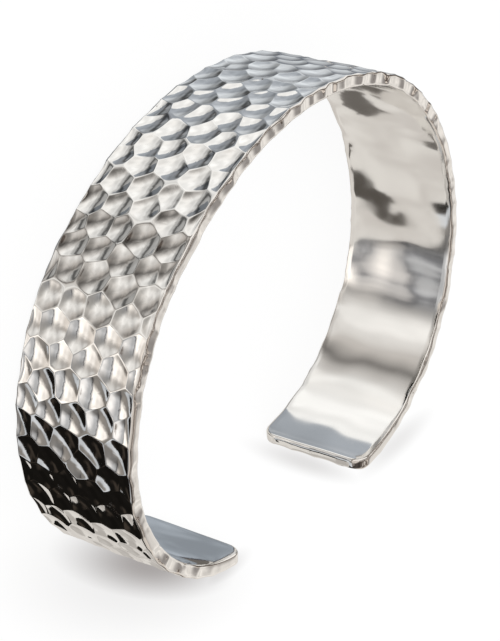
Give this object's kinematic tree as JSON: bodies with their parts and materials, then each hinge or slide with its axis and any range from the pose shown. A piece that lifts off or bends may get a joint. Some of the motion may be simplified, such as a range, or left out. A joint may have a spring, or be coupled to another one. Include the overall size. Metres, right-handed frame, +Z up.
{
  "type": "cuff bracelet",
  "caption": "Open oval cuff bracelet of polished silver: one flat band with a hammered, dented outer face, a smooth inner face and rounded ends.",
  "frame": {"origin": "on the surface that the cuff lies on, below the middle of its footprint", "axes": "+X across the cuff's wider way, along the line from one terminal to the other, +Y from the opening between the terminals towards the back of the cuff, +Z up along the wrist, across the band's width"},
  "size_m": [0.0642, 0.0486, 0.014],
  "materials": {
    "polished_silver": "sterling silver polished to a mirror, hammered with a round face on the outside, smooth and slightly wavy inside"
  },
  "bodies": {
    "root": {"cuff": "polished_silver"}
  },
  "joints": []
}
